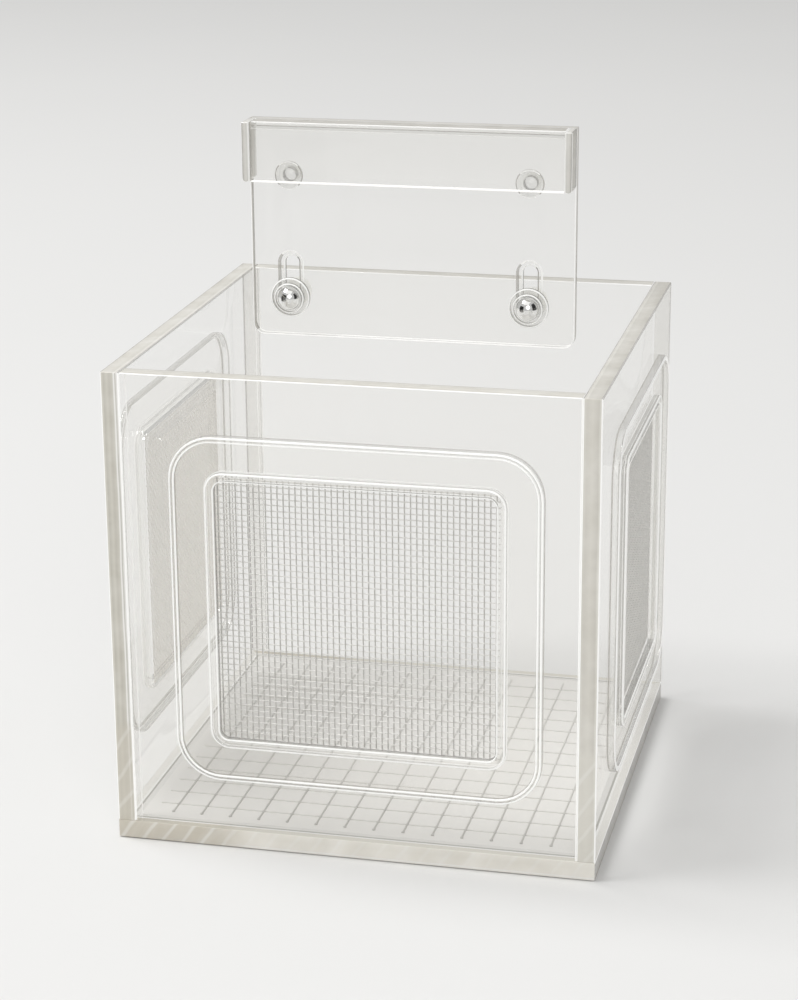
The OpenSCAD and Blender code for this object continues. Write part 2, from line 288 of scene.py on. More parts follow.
def sawn_edge(name, across, centre, half, thick, bands, marks, cover, worn=None):
    """Painted reflection: bands along one axis, from a sheet's outer face inwards, on both sides of a centre.

    worn holds the colour of the frost, how much the arcs show everywhere, and limits by axis."""
    material, flow, at = start_finish(name)
    depth = flow.node("SeparateXYZ", out=across, Vector=at)
    cloud = flow.node("TexNoise", out="Fac", Vector=at, Scale=110.0, Detail=3.0)
    bend = flow.node("TexNoise", out="Fac", Vector=at, Scale=45.0, Detail=1.0)
    share = (half * MM - flow.math("ABSOLUTE", depth - centre * MM)) * (1 / (thick * MM))
    # painted reflection: the band's colour stands in for the faces mirrored inside the sheet
    band = flow.node("ValToRGB", {"stops": bands}, Fac=share + 0.12 * (bend - 0.5))
    slant = flow.node("Mapping", Vector=at, Rotation=SAW_SLANT)
    stroke = flow.node("TexNoise", out="Fac", Vector=slant.scaled(SAW_GRAIN), Scale=1.0, Detail=4.0,
                       Distortion=0.5)
    scratch = marks * flow.node("MapRange", Value=stroke, From_Min=0.47, From_Max=0.66)
    milky = flow.node("MapRange", Value=cloud, From_Min=0.35, From_Max=0.7)
    clouded = (0.25 * milky).mixed(band, (0.92, 0.905, 0.87, 1))
    if worn:
        frost, everywhere, *limits = worn
        here = 1
        for axis, start, end in limits:
            place = flow.node("SeparateXYZ", out=axis, Vector=at) + WAVER * MM * (bend - 0.5)
            here = here * flow.node("MapRange", Value=place, From_Min=start * MM, From_Max=end * MM)
        clouded = (0.7 * here).mixed(clouded, frost)
        arc = flow.node("TexWave", out="Fac", Vector=slant, Scale=math.pi / (10 * TOOTH * MM),
                        Distortion=2.5, Detail=2.0, Detail_Scale=0.6)
        teeth = flow.node("MapRange", Value=arc, From_Min=0.84, From_Max=1.0)
        scratch = 0.3 * scratch + (everywhere + 0.2 * here) * teeth
    relief = flow.node("Bump", Strength=0.1, Distance=0.0002, Height=stroke)
    satin = flow.node("BsdfPrincipled", Base_Color=scratch.mixed(clouded, (0.97, 0.97, 0.95, 1)),
                      Roughness=0.4 - 0.15 * cloud, IOR=ACRYLIC_IOR, Normal=relief)
    through = flow.node("BsdfTransparent", Color=(0.97, 0.965, 0.95, 1))
    return end_finish(material, flow.node("MixShader", Fac=cover + 0.2 * cloud, in1=through, in2=satin))


# Painted reflection: each list ramps colours across a sheet's thickness, from its outer face inwards.
WALL_BANDS = [(0.0, (0.30, 0.282, 0.235)), (0.05, (0.56, 0.535, 0.465)), (0.1, (0.67, 0.645, 0.57)),
              (0.2, (0.49, 0.465, 0.395)), (0.38, (0.59, 0.565, 0.49)), (0.52, (0.50, 0.475, 0.405)),
              (0.7, (0.58, 0.555, 0.485)), (0.77, (0.96, 0.955, 0.925)), (0.85, (0.51, 0.49, 0.44)),
              (0.93, (0.90, 0.89, 0.86)), (1.0, (0.40, 0.385, 0.345))]
TOP_BANDS = [(0.0, (0.28, 0.262, 0.22)), (0.12, (0.58, 0.555, 0.49)), (0.45, (0.66, 0.635, 0.57)),
             (0.72, (0.60, 0.58, 0.515)), (0.8, (0.78, 0.76, 0.70)), (0.92, (0.58, 0.56, 0.50)),
             (1.0, (0.38, 0.36, 0.315))]
RIGHT_BANDS = [(0.0, (0.86, 0.85, 0.81)), (0.08, (0.74, 0.72, 0.66)), (0.2, (0.58, 0.556, 0.495)),
               (0.5, (0.655, 0.63, 0.565)), (0.8, (0.60, 0.576, 0.515)), (0.93, (0.66, 0.64, 0.58)),
               (1.0, (0.92, 0.91, 0.88))]
# The right wall's top is a darker copy of the top bands: painted shade, on the side away from the lamp.
RIGHT_TOP_BANDS_PAINTED_SHADE = [(0.0, (0.26, 0.243, 0.205)), (0.12, (0.50, 0.478, 0.42)), (0.45, (0.57, 0.548, 0.49)),
                   (0.72, (0.54, 0.52, 0.465)), (0.8, (0.68, 0.66, 0.60)), (0.92, (0.52, 0.50, 0.45)),
                   (1.0, (0.36, 0.34, 0.30))]
FLOOR_BANDS = [(0.0, (0.86, 0.83, 0.755)), (0.35, (0.83, 0.80, 0.725)), (0.6, (0.86, 0.83, 0.755)),
               (0.8, (0.88, 0.85, 0.78)), (0.87, (0.96, 0.945, 0.905)), (0.94, (0.90, 0.875, 0.815)),
               (1.0, (0.88, 0.855, 0.795))]
FLOOR_SIDE_BANDS = [(0.0, (0.95, 0.94, 0.915)), (0.12, (0.62, 0.60, 0.555)), (0.22, (0.95, 0.945, 0.925)),
                    (0.4, (0.78, 0.765, 0.73)), (0.52, (0.96, 0.955, 0.935)), (0.62, (0.70, 0.68, 0.64)),
                    (0.74, (0.95, 0.94, 0.915)), (0.88, (0.74, 0.70, 0.645)), (1.0, (0.86, 0.82, 0.77))]
CAP_BANDS = [(0.0, (0.20, 0.195, 0.18)), (0.08, (0.25, 0.24, 0.22)), (0.2, (0.58, 0.565, 0.525)),
             (0.5, (0.70, 0.685, 0.645)), (0.75, (0.62, 0.61, 0.575)), (0.86, (0.88, 0.875, 0.85)),
             (1.0, (0.68, 0.67, 0.64))]
PLATE_BANDS = [(0.0, (0.20, 0.19, 0.17)), (0.18, (0.30, 0.285, 0.25)), (0.34, (0.72, 0.70, 0.65)),
               (0.5, (0.66, 0.64, 0.585)), (0.62, (0.40, 0.38, 0.335)), (1.0, (0.44, 0.42, 0.375))]
side_cut, cross_cut = ("X", 0.0, CAGE / 2, SHEET), ("Y", 0.0, CAGE / 2, SHEET)
floor_cut = ("Z", 0.0, SHEET, SHEET)
side_edge = sawn_edge("side_sheet_edge", *side_cut, WALL_BANDS, 0.12, 0.82,
                      ((0.60, 0.56, 0.475, 1), 0.0, WORN_FOOT))
side_top = sawn_edge("side_sheet_top", *side_cut, TOP_BANDS, 0.2, 0.72)
# painted light: the rear edges show the bands only faintly, as if lit from behind
rear_edge_painted_backlit = sawn_edge("rear_sheet_edge", *side_cut, TOP_BANDS, 0.2, 0.16)
front_edge = sawn_edge("front_sheet_edge", *cross_cut, TOP_BANDS, 0.15, 0.72)
right_edge = sawn_edge("right_sheet_edge", *side_cut, RIGHT_BANDS, 0.12, 0.82,
                       ((0.72, 0.70, 0.635, 1), 0.0, WORN_FOOT))
right_top_painted_shade = sawn_edge("right_sheet_top", *side_cut, RIGHT_TOP_BANDS_PAINTED_SHADE, 0.1, 0.76)
floor_edge = sawn_edge("floor_sheet_edge", *floor_cut, FLOOR_BANDS, 0.5, 0.82,
                       ((0.55, 0.50, 0.405, 1), 0.16, *WORN_CORNER))
floor_side = sawn_edge("floor_sheet_side", *floor_cut, FLOOR_SIDE_BANDS, 0.1, 0.6)
cap_edge = sawn_edge("hook_cap_edge", "X", HANG_MID, HANG_W / 2, HOOK_T, CAP_BANDS, 0.1, 0.8)
plate_edge = sawn_edge("hanger_plate_edge", "Y", 0.0, PLATE_BACK, HANG_T, PLATE_BANDS, 0.1, 0.8)

# %% [markdown]
# Between a face and a sawn edge runs the eased arris. It is polished round and gathers light
# from inside the sheet, so it shows as a thin white line: a painted highlight, near-white and
# glowing a little. Where it turns to a darker part of the room, as at the top and at the back, the
# same line is painted grey as shade. The hanger's lower rims shine most: their painted highlight
# glows the most.

# %% Finishes of the arrises
def painted_line(name, dull, bright, cover, rough, ior, glow):
    material, flow, at = start_finish(name)
    scuff = flow.node("TexNoise", out="Fac", Vector=at, Scale=60.0, Detail=2.0)
    # painted highlight or shade: the line's colour and its glow stand in for the light on the arris
    glint = flow.node("BsdfPrincipled", Base_Color=scuff.mixed((*dull, 1), (*bright, 1)),
                      Roughness=rough + 0.14 * scuff, IOR=ior,
                      Emission_Color=(1.0, 0.995, 0.98, 1), Emission_Strength=glow)
    clear = flow.node("BsdfTransparent", Color=(0.97, 0.97, 0.96, 1))
    return end_finish(material, flow.node("MixShader", Fac=cover + 0.12 * scuff, in1=clear, in2=glint))


# a glowing painted highlight, a brighter glowing one, and a painted shade line
arris = painted_line("polished_arris", (0.93, 0.93, 0.91), (0.98, 0.98, 0.97), 0.84, 0.08, 1.8, 0.15)
glowing_highlight_line = painted_line("bright_arris", (0.95, 0.95, 0.935), (0.99, 0.99, 0.98), 0.88, 0.08, 1.8, 0.35)
painted_shade_line = painted_line("shaded_arris", (0.34, 0.325, 0.295), (0.46, 0.445, 0.41), 0.5, 0.3, 1.3, 0.0)

# %% [markdown]
# ## Moulded clear pieces
#
# The window flanges, bezels, knobs and buttons are clear mouldings with round edges. Solid glass
# would bend the rays, but then a bead shows a stretched picture of everything behind it, which
# is slow and noisy. What the eye reads is simpler: a bead is clear where it faces the eye, turns
# grey where it turns away, and has a bright line of gloss. Layer Weight gives that turn. The grey
# is painted shade, in place of the dark lines that bent rays would draw.

# %% Finish of the mouldings
def clear_moulding(name, grey, depth, shine, least=0.02):
    """Clear plastic whose painted grey shade hides least of what is behind it face on, and up to depth more
    edge on.
    """
    material, flow, at = start_finish(name)
    flow_marks = flow.node("TexNoise", out="Fac", Vector=at, Scale=160.0, Detail=2.0)
    away = flow.node("LayerWeight", out="Facing", Blend=0.5)
    turned = flow.node("MapRange", Value=away, From_Min=0.3, From_Max=0.95)
    clear = flow.node("BsdfTransparent", Color=(0.985, 0.985, 0.98, 1))
    # painted shade: a grey body where the surface turns away from the eye
    body = flow.node("BsdfDiffuse", Color=(*grey, 1))
    gloss = flow.node("BsdfGlossy", Color=(1, 1, 1, 1), Roughness=0.04 + 0.08 * flow_marks)
    hides = least + depth * turned * (0.9 + 0.2 * flow_marks)
    soft = flow.node("MixShader", Fac=hides, in1=clear, in2=body)
    mirrors = shine + 0.5 * flow.node("Fresnel", IOR=ACRYLIC_IOR)
    return end_finish(material, flow.node("MixShader", Fac=mirrors, in1=soft, in2=gloss))


# painted shade on every moulding: grey as the surface turns away
moulding = clear_moulding("clear_moulding", (0.58, 0.57, 0.55), 0.75, 0.04)
# painted shade: the dark walls of slots, bores and openings, and the sides of buttons and knobs
slot_wall = clear_moulding("slot_wall", (0.28, 0.275, 0.26), 0.95, 0.03)
dome_clear = clear_moulding("clear_dome", (0.62, 0.615, 0.60), 0.5, 0.03, 0.1)
ring_clear = clear_moulding("clear_ring", (0.50, 0.495, 0.475), 0.8, 0.03, 0.1)

# %% [markdown]
# ## Metals and ink
#
# The wire is satin steel with small differences along its length. Its tones are painted light and
# shade: level wires lighter than upright ones, and the left cloth lighter than the right. The cap
# nuts are polished, so nearly all that shows on them is the room. The rulings are a grey ink with
# worn patches.

# %% Finishes of wire, nuts, screws and rulings
RULING_PITCH, INK_FULL, INK_DRY = 8.0, -58.0, -10.0


def metal(name, dark, light, grain, rough, spread):
    material, flow, at = start_finish(name)
    wear = flow.node("TexNoise", out="Fac", Vector=at, Scale=grain, Detail=3.0)
    relief = flow.node("Bump", Strength=0.04, Distance=0.0001, Height=wear)
    return end_finish(material, flow.node(
        "BsdfPrincipled", Base_Color=wear.mixed((*dark, 1), (*light, 1)), Metallic=1.0,
        Roughness=rough + spread * wear, Normal=relief))


def ink(name, wet, dry, faint):
    """Lines to the back, ruled from the front and running dry, over fainter lines across."""
    material, flow, at = start_finish(name)
    patch = flow.node("TexNoise", out="Fac", Vector=at, Scale=180.0, Detail=4.0)
    run = flow.node("MapRange", Value=flow.node("SeparateXYZ", out="Y", Vector=at),
                    From_Min=INK_FULL * MM, From_Max=INK_DRY * MM)
    step = flow.node("SeparateXYZ", out="X", Vector=at) * (1 / (RULING_PITCH * MM))
    # the lines lie half a pitch off the middle, and 100 whole pitches keep the fraction positive
    off_line = flow.math("ABSOLUTE", flow.math("FRACT", step + 100.0) - 0.5)
    to_back = flow.math("GREATER_THAN", 0.06, off_line)
    along = (0.6 * run + 0.4 * patch).mixed((*wet, 1), (*dry, 1))
    return end_finish(material, flow.node(
        "BsdfPrincipled", Base_Color=to_back.mixed((*faint, 1), along), Roughness=0.55 + 0.2 * patch))


# one steel in painted tones: in shade, half lit, and lit for the left cloth
steel_painted_in_shade = metal("warp_wire", (0.50, 0.49, 0.465), (0.68, 0.665, 0.64), 500.0, 0.3, 0.2)
steel_painted_half_lit = metal("weft_wire", (0.69, 0.68, 0.655), (0.87, 0.86, 0.835), 500.0, 0.4, 0.2)
fine_warp_painted_lit = metal("fine_warp_wire", (0.79, 0.77, 0.73), (0.97, 0.945, 0.905), 700.0, 0.35, 0.2)
fine_weft_painted_lit = metal("fine_weft_wire", (0.84, 0.82, 0.785), (0.97, 0.95, 0.92), 700.0, 0.4, 0.2)
nut_chrome = metal("polished_nut", (0.84, 0.84, 0.83), (0.95, 0.95, 0.94), 90.0, 0.03, 0.06)
screw_steel = metal("turned_screw", (0.80, 0.80, 0.80), (0.93, 0.93, 0.92), 260.0, 0.15, 0.15)
rule_ink = ink("ruling_ink", (0.47, 0.46, 0.435), (0.70, 0.69, 0.66), (0.72, 0.71, 0.68))

# %% [markdown]
# ## One maker for every rigid piece
#
# Sheets, rings, knobs and buttons have something in common: each is a stack of rims, and a rim
# is a rectangle with round corners, or a circle as its limit. So one function joins the rims of
# the outside, those of each hole, and fills the two flat faces between them. The edges of real
# sheet are never sharp, so rims near a face are drawn in a little, which catches the light.

# %% Rims
LEAST_R, EASE_PARTS, TOUCHING = 0.02, 3, 1e-6
SIDES = ("left", "right", "top", "bottom")
LINE, OUTSIDE, HOLE = "line", -1, 1


def rim(w, h, r, x, y, steps):
    """A rounded rectangle's points, anticlockwise; r is one radius, or those of the four corners."""
    radii = r if isinstance(r, tuple) else (r,) * 4
    points = []
    for n, (sx, sy) in enumerate(((1, 1), (-1, 1), (-1, -1), (1, -1))):
        side = (w if n % 2 == 0 else h) - radii[n] - radii[(n + 1) % 4]
        for k in range(steps + (side > TOUCHING)):
            angle = math.radians(90 * (n + k / steps))
            points.append((x + sx * (w / 2 - radii[n]) + radii[n] * math.cos(angle),
                           y + sy * (h / 2 - radii[n]) + radii[n] * math.sin(angle)))
    return points


def swell(shape, by):
    """A rim's width, height and corners, all moved outwards."""
    w, h, r = shape
    grown = tuple(max(x + by, LEAST_R) for x in r) if isinstance(r, tuple) else max(r + by, LEAST_R)
    return w + 2 * by, h + 2 * by, grown


def circle(d):
    return d, d, d / 2


def stack(shape, low, high, ease, way=OUTSIDE, low_line=LINE, high_line=LINE):
    """Rims from low to high; ease is how far the low and the high arris are rounded off.

    Each rim ends with the finish of the band above it: a finish, LINE for the piece's arrises, a
    choice by side with LINE for the rest, or None for the upright wall of the piece or hole."""
    def eased(n, by):
        a = math.pi / 2 * n / EASE_PARTS
        return swell(shape, way * by * (1 - math.sin(a))), by * (1 - math.cos(a))

    rims = []
    for n in range(EASE_PARTS + 1):
        drawn_in, rise = eased(n, ease[0])
        rims.append((*drawn_in, low + rise, low_line if n < EASE_PARTS else None))
    for n in range(EASE_PARTS, -1, -1):
        drawn_in, fall = eased(n, ease[1])
        rims.append((*drawn_in, high - fall, high_line if n else None))
    return rims


print("a round rim of 10 steps to a corner has", len(rim(*circle(8.0), 0, 0, 10)), "points")

# %% [markdown]
# A piece names a finish for its faces and for its upright edges, and may give some sides and
# arrises their own. Every piece is written the same way: it rides on the body of its solid and
# stands in for it.

# %% Pieces from rims
WELD, SHARP = 1e-7, 32


def put(name, place, verts, faces, kinds, node):
    """Writes a mesh in metres, with a finish for each face, and stands it in for one solid."""
    mesh = bpy.data.meshes.new(name)
    mesh.from_pydata([place @ (Vector(v) * MM) for v in verts], [], faces)
    numbers = {finish: n for n, finish in enumerate(dict.fromkeys(kinds))}
    mesh.polygons.foreach_set("material_index", [numbers[finish] for finish in kinds])
    work = bmesh.new()
    work.from_mesh(mesh)
    bmesh.ops.remove_doubles(work, verts=work.verts, dist=WELD)
    bmesh.ops.recalc_face_normals(work, faces=work.faces)
    work.to_mesh(mesh)
    work.free()
    mesh.polygons.foreach_set("use_smooth", [True] * len(mesh.polygons))
    mesh.set_sharp_from_angle(angle=math.radians(SHARP))
    for finish in numbers:
        mesh.materials.append(finish)
    piece = bpy.data.objects.new(name, mesh)
    scene.collection.objects.link(piece)
    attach(piece, frame["nodes"][node]["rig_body"])
    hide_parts(node)
    print(name, len(mesh.polygons), "faces")
    return piece


def build(name, place, outside, holes, face, edges, node, steps=10, at=(0.0, 0.0), lines=None, line=arris,
          hole_wall=None, flats=None):
    """A piece from its stacks of rims, in millimetres, that stands for one solid of the frame.

    edges is the finish of the outside's upright sides, one for all or a choice by side; a side that
    is left out is cemented and takes the face's. lines is a choice for the arrises along a side, or
    along its low half, and line is the finish of the rest. flats are those of the two flat faces."""
    verts, faces, kinds = [], [], []
    edges = edges if isinstance(edges, dict) else dict.fromkeys(SIDES, edges)
    lines = lines or {}

    def side_of(a, b):
        run = b - a
        if abs(run.x) > abs(run.y):
            return "top" if run.x < 0 else "bottom"
        return "right" if run.y > 0 else "left"

    def finish_of(kind, side, half, flat, cut):
        if kind is None and flat:
            return face
        if kind is None:
            return (hole_wall or face) if cut else edges.get(side, face)
        if isinstance(kind, dict):
            kind = kind.get(side, LINE)
        if kind != LINE:
            return kind
        return line if cut else lines.get(side + half, lines.get(side, line))

    def lay(rims, x, y, cut):
        loops = []
        for w, h, r, z, _ in rims:
            loop = [Vector((px, py, z)) for px, py in rim(w, h, r, x, y, steps)]
            loops.append(range(len(verts), len(verts) + len(loop)))
            verts.extend(loop)
        for low, high, below, above in zip(loops, loops[1:], rims, rims[1:]):
            count, kind = len(low), below[4]
            half = "_low" if 2 * below[3] < rims[0][3] + rims[-1][3] else ""
            flat = abs(below[3] - above[3]) < TOUCHING
            for k in range(count):
                following = (k + 1) % count
                faces.append((low[k], low[following], high[following], high[k]))
                side = side_of(verts[low[k]], verts[low[following]])
                kinds.append(finish_of(kind, side, half, flat, cut))
        return loops[0], loops[-1]

    ends = [lay(outside, *at, False)] + [lay(rims, x, y, True) for rims, x, y in holes]
    for side, finish in enumerate(flats or (face, face)):
        loops = [end[side] for end in ends]
        order = [k for loop in loops for k in loop]
        for triangle in tessellate_polygon([[verts[k] for k in loop] for loop in loops]):
            faces.append(tuple(order[k] for k in triangle))
            kinds.append(finish)
    return put(name, place, verts, faces, kinds, node)

# %% [markdown]
# ## The box
#
# The floor is one square of sheet, and the four walls stand on it: the side walls are full
# depth, and the front and back stand between them. A hair of air is left in each cemented seam,
# so that no two clear faces lie in the same place, which would flicker. A wall is built lying
# flat, seen from outside, and then stood up.

# %% Places of the walls
SEAM, CRACK = 0.05, 0.02
INNER, WALL_H = CAGE - 2 * SHEET, CAGE - SHEET - SEAM
WALL_MID = SHEET + (CAGE - SHEET) / 2


def stood(x, y, z, facing=0):
    """Local x and y lie in a wall's outer face, seen from outside, and z points out of the box."""
    return Matrix.Translation((x * MM, y * MM, z * MM)) @ Matrix.Rotation(
        math.radians(facing), 4, "Z") @ Matrix.Rotation(math.radians(90), 4, "X")


FRONT = stood(0, -CAGE / 2, WALL_MID + SEAM / 2)
BACK = stood(0, CAGE / 2, WALL_MID + SEAM / 2, 180)
LEFT = stood(-CAGE / 2, 0, WALL_MID + SEAM / 2, -90)
RIGHT = stood(CAGE / 2, 0, WALL_MID + SEAM / 2, 90)
print("walls stand", WALL_MID, "mm up, round a floor of", INNER, "mm")

# %% [markdown]
# A window is a hole with a shallow rebate outside, which the wire cloth lies in. The bezel ring
# reaches a band's width past the clear window on each side, so the window's size is read from it.

# %% Floor, front and side walls
FLOOR_EASE, CROSS_EASE, SIDE_EASE = (0.3, 0.2), (0.25, 0.25), (0.35, 0.35)
WINDOW_EASE, REBATE_EASE = (0.25, 0.05), (0.02, 0.1)
SHEET_R, FLOOR_R = 0.3, 0.4
BAND, WINDOW_R, LAP, REBATE = 2.4, 2.5, 1.6, 0.95
FRONT_WINDOW = round(size("front_mesh_bezel", "X") - 2 * BAND, 2)
SIDE_WINDOW = round(size("left_mesh_bezel", "Y") - 2 * BAND, 2)
WINDOW_H = round(size("front_mesh_bezel", "Z") - 2 * BAND, 2)
FRONT_SHIFT = middle("front_mesh_bezel", "X")


def window_hole(w, inner=LINE):
    """The clear window and its rebate; inner is the finish of the arris inside the box."""
    clear, wide = (w, WINDOW_H, WINDOW_R), (w + 2 * LAP, WINDOW_H + 2 * LAP, WINDOW_R)
    return (stack(clear, -SHEET, -REBATE, WINDOW_EASE, HOLE, low_line=inner)
            + stack(wide, -REBATE, 0, REBATE_EASE, HOLE))


floor_rims = stack((CAGE, CAGE, FLOOR_R), 0, SHEET, FLOOR_EASE, low_line=floor_edge)
floor_piece = build("floor_sheet", Matrix(), floor_rims, [], floor_face,
                    {"top": floor_edge, "bottom": floor_edge, "left": floor_side, "right": floor_side},
                    "floor_panel", lines={**dict.fromkeys(SIDES, floor_edge), "right": arris})
cross_rims = stack((INNER - 2 * SEAM, WALL_H, SHEET_R), -SHEET, 0, CROSS_EASE)
front_piece = build("front_sheet", FRONT, cross_rims, [(window_hole(FRONT_WINDOW), FRONT_SHIFT, 0.0)],
                    wall_face, {"top": front_edge}, "front_wall",
                    lines={"bottom": wall_face, "top_low": painted_shade_line})
side_rims = stack((CAGE, WALL_H, SHEET_R), -SHEET, 0, SIDE_EASE)
for name, place, node, near, far, near_edge, top_edge, inner in (
        ("left_sheet", LEFT, "left_wall", "right", "left", side_edge, side_top, painted_shade_line),
        ("right_sheet", RIGHT, "right_wall", "left", "right", right_edge, right_top_painted_shade, wall_face)):
    side_piece = build(name, place, side_rims, [(window_hole(SIDE_WINDOW, wall_face), 0.0, 0.0)],
                       wall_face, {near: near_edge, "top": top_edge, far: rear_edge_painted_backlit}, node,
                       lines={"top": painted_shade_line, far: painted_shade_line, far + "_low": inner, "bottom": wall_face})

# %% [markdown]
# The back wall has two countersunk holes for the clamp screws. Seen from outside it is
# mirrored, so the screws' places change sign.

# %% Back wall
LEFT_X, RIGHT_X = middle("left_clamp_screw", "X"), middle("right_clamp_screw", "X")
SCREW_Z = middle("left_clamp_screw", "Z")
SCREW_HOLE, SINK_D, SINK_RIM, SINK_DEPTH = 4.2, 8.2, 8.3, 2.0
sink = [(*circle(d), z, None) for d, z in (
    (SCREW_HOLE, -SHEET), (SCREW_HOLE, -SINK_DEPTH), (SINK_D, -CRACK), (SINK_RIM, 0.0))]
back_piece = build("back_sheet", BACK, cross_rims,
                   [(sink, -x, SCREW_Z - WALL_MID - SEAM / 2) for x in (LEFT_X, RIGHT_X)],
                   wall_face, {"top": front_edge}, "back_wall", hole_wall=arris,
                   lines={"bottom": wall_face, "left": wall_face, "top": painted_shade_line, "top_low": arris})

# %% [markdown]
# ## Window flanges and bezels
#
# Each window has a thin moulded flange with a bead along its rim, and inside it a bezel ring that
# clamps the wire. The bead is a small round that rises from the flange, so its rims climb over it
# and come down again to the flat face. The front and left flanges show it as two rounds with a
# valley between, and the right one as a single round.

# %% Flanges and bezels
FLANGE = (size("front_window_frame", "X"), size("front_window_frame", "Z"), 12.0)
FLANGE_T, BEAD_W, BEAD_H, VALLEY, FOOT = 1.4, 1.8, 0.9, 0.35, 0.45
BEZEL_T, SEAT_FIT = size("front_mesh_bezel", "Y"), 0.1
SEAT_EASE, BEZEL_EASE, OPENING_EASE = (0.1, 0.25), (0.1, 0.4), (0.1, 0.35)
WHOLE_PARTS, HALF_PARTS = 12, 8


def flange_start():
    """Up the flange's side, with a painted shade line at its foot."""
    return [(*FLANGE, SEAM, painted_shade_line), (*FLANGE, SEAM + FOOT, moulding), (*FLANGE, FLANGE_T, moulding)]


def single_bead():
    """Over one round, whose crown carries the painted highlight line."""
    rims = flange_start()
    for n in range(1, WHOLE_PARTS + 1):
        a = math.pi * n / WHOLE_PARTS
        inset, crown = BEAD_W / 2 * (1 - math.cos(a)), 2 < n < 9
        rims.append((*swell(FLANGE, -inset), FLANGE_T + BEAD_H * math.sin(a), LINE if crown else moulding))
    return rims


def double_bead():
    """Over two rounds with painted highlight crowns, and a painted shade line at the second's inner foot."""
    rims = flange_start()
    for half in (0, 1):
        for n in range(1, HALF_PARTS + 1):
            a = math.pi * n / HALF_PARTS
            low = VALLEY if (n > HALF_PARTS / 2) != bool(half) else 0.0
            inset = BEAD_W / 4 * (1 - math.cos(a)) + half * BEAD_W / 2
            crown, foot = 2 <= n - half <= 4, half and n > 5
            rims.append((*swell(FLANGE, -inset), FLANGE_T + low + (BEAD_H - low) * math.sin(a),
                         LINE if crown else painted_shade_line if foot else moulding))
    return rims


for side, place, w, shift, bead in (("front", FRONT, FRONT_WINDOW, FRONT_SHIFT, double_bead),
                                    ("left", LEFT, SIDE_WINDOW, 0.0, double_bead),
                                    ("right", RIGHT, SIDE_WINDOW, 0.0, single_bead)):
    clear = (w, WINDOW_H, WINDOW_R)
    seat = stack(swell(clear, BAND + SEAT_FIT), SEAM, FLANGE_T, SEAT_EASE, HOLE)
    flange = build(side + "_flange", place, bead(), [(seat, shift, 0.0)], wall_face, moulding,
                   side + "_window_frame", at=(shift, 0.0))
    opening = stack(clear, SEAM, BEZEL_T, OPENING_EASE, HOLE)
    ring = build(side + "_bezel", place, stack(swell(clear, BAND), SEAM, BEZEL_T, BEZEL_EASE),
                 [(opening, shift, 0.0)], wall_face, moulding, side + "_mesh_bezel", at=(shift, 0.0),
                 hole_wall=slot_wall)

# %% [markdown]
# ## Woven wire
#
# Plain weave: each wire goes over one neighbour and under the next. A picture of a net would be
# quicker, but from the side the bends of the wire show, so each wire is a thin tube that rises and
# sinks from one crossing to the next. Crossing wires bend opposite ways, which is what locks the
# cloth. The front cloth was rolled flat after weaving, so its bends are shallow. The two side
# windows have a finer cloth, painted brighter on the left, as lit, and duller on the right, as in
# shade.

# %% Wire cloth
EDGE_LAP, CLOTH_MID = 0.5, -REBATE / 2 - CRACK


def weave(name, place, w, shift, node, pitch, wire, bend, sides, warp, weft):
    """Tubes with a number of sides; bend is how far a wire sways, as a share of its thickness."""
    width, height = w + 2 * EDGE_LAP, WINDOW_H + 2 * EDGE_LAP
    verts, faces, kinds = [], [], []
    sway = bend * wire / 2
    ring = [(wire / 2 * math.cos(2 * math.pi * k / sides), wire / 2 * math.sin(2 * math.pi * k / sides))
            for k in range(sides)]
    for run, span_of_wires, standing in ((height, width, True), (width, height, False)):
        wires = int((span_of_wires - wire) / pitch) + 1
        others = int((run - wire) / pitch) + 1
        crossings = [(k - (others - 1) / 2) * pitch for k in range(others)]
        for n in range(wires):
            across = (n - (wires - 1) / 2) * pitch
            first = len(verts)
            for k, along in enumerate([-run / 2] + crossings + [run / 2]):
                rise = sway if (k + n + standing) % 2 else -sway
                for a, b in ring:
                    x, y = (across + a, along) if standing else (along, across + a)
                    verts.append((x + shift, y, CLOTH_MID + rise + b))
            for k in range(others + 1):
                for s in range(sides):
                    low, high = first + k * sides, first + (k + 1) * sides
                    faces.append((low + s, low + (s + 1) % sides, high + (s + 1) % sides, high + s))
            faces.append(tuple(first + s for s in range(sides)))
            faces.append(tuple(len(verts) - sides + s for s in range(sides)))
        kinds += [warp if standing else weft] * (len(faces) - len(kinds))
    piece = put(name, place, verts, faces, kinds, node)
    return piece


FINE = {"pitch": 1.06, "wire": 0.24, "bend": 1.1, "sides": 4}
weave("front_wire", FRONT, FRONT_WINDOW, FRONT_SHIFT, "front_mesh", pitch=1.59, wire=0.34, bend=0.4, sides=6,
      warp=steel_painted_in_shade, weft=steel_painted_half_lit)
weave("left_wire", LEFT, SIDE_WINDOW, 0.0, "left_mesh", **FINE, warp=fine_warp_painted_lit, weft=fine_weft_painted_lit)
weave("right_wire", RIGHT, SIDE_WINDOW, 0.0, "right_mesh", **FINE, warp=steel_painted_half_lit, weft=steel_painted_half_lit)

# %% [markdown]
# ## The hanger
#
# The hanger is a plate of thinner sheet with two recessed slots, and a hook at its top made of
# a strip, a lip and two end caps. Of its outer arrises the lip's front ones are eased most, because
# fingers slide along them. The strip's top looks as grey as a sawn edge, so it gets that finish,
# with its painted reflection bands. The lower arrises of the plate and the lip carry the brightest
# painted highlight, and the plate's back arrises a painted shade line.

